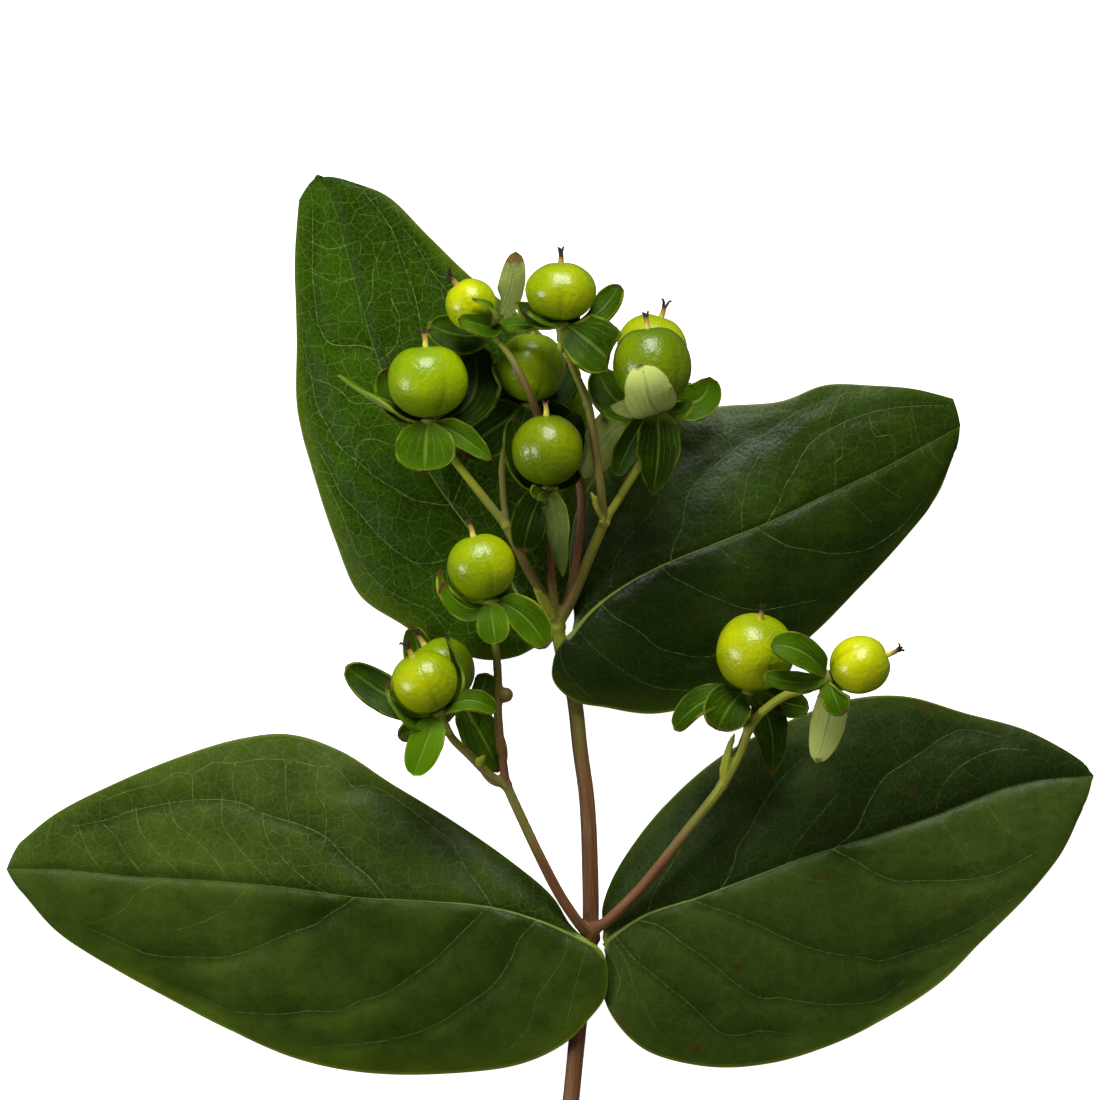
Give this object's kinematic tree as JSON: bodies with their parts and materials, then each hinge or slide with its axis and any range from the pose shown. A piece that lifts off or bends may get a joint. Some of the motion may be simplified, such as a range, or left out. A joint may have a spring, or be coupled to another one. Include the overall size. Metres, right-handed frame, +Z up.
{
  "type": "hypericum berry stem",
  "caption": "Cut hypericum stem lying down: forked woody stem with heart-based glossy leaves and round green berries, each in a cup of leafy sepals.",
  "frame": {"origin": "middle of the outline seen from above, on the surface the stem lies on", "axes": "+Y along the stem from its cut end to its tip, +Z up from the surface, +X to the right seen from above"},
  "size_m": [0.163, 0.1802, 0.035],
  "materials": {
    "stem": "young woody bark, olive to red-brown, satin",
    "leaf_upper_left": "leaf blade, green, softly glossy on top",
    "leaf_upper_right": "leaf blade, green, softly glossy on top",
    "leaf_lower_left": "leaf blade, green, softly glossy on top",
    "leaf_lower_right": "leaf blade, green, softly glossy on top",
    "berry_01": "glossy unripe berry skin",
    "berry_02": "glossy unripe berry skin",
    "berry_03": "glossy unripe berry skin",
    "berry_04": "glossy unripe berry skin",
    "berry_05": "glossy unripe berry skin",
    "berry_06": "glossy unripe berry skin",
    "berry_07": "glossy unripe berry skin",
    "berry_08": "glossy unripe berry skin",
    "berry_09": "glossy unripe berry skin",
    "berry_10": "glossy unripe berry skin",
    "berry_11": "glossy unripe berry skin",
    "berry_12": "glossy unripe berry skin",
    "sepal": "sepal, mid green, satin",
    "style": "dry style, pale stalk and dark brown tips"
  },
  "bodies": {
    "root": {"stem": "stem", "leaf_upper_left": "leaf_upper_left", "leaf_upper_right": "leaf_upper_right", "leaf_lower_left": "leaf_lower_left", "leaf_lower_right": "leaf_lower_right", "berry_01": "berry_01", "calyx_01": "sepal", "styles_01": "style", "berry_02": "berry_02", "calyx_02": "sepal", "styles_02": "style", "berry_03": "berry_03", "calyx_03": "sepal", "styles_03": "style", "berry_04": "berry_04", "calyx_04": "sepal", "styles_04": "style", "berry_05": "berry_05", "calyx_05": "sepal", "styles_05": "style", "berry_06": "berry_06", "calyx_06": "sepal", "styles_06": "style", "berry_07": "berry_07", "calyx_07": "sepal", "styles_07": "style", "berry_08": "berry_08", "calyx_08": "sepal", "styles_08": "style", "berry_09": "berry_09", "calyx_09": "sepal", "styles_09": "style", "berry_10": "berry_10", "calyx_10": "sepal", "styles_10": "style", "berry_11": "berry_11", "calyx_11": "sepal", "styles_11": "style", "berry_12": "berry_12", "calyx_12": "sepal", "styles_12": "style"}
  },
  "joints": []
}
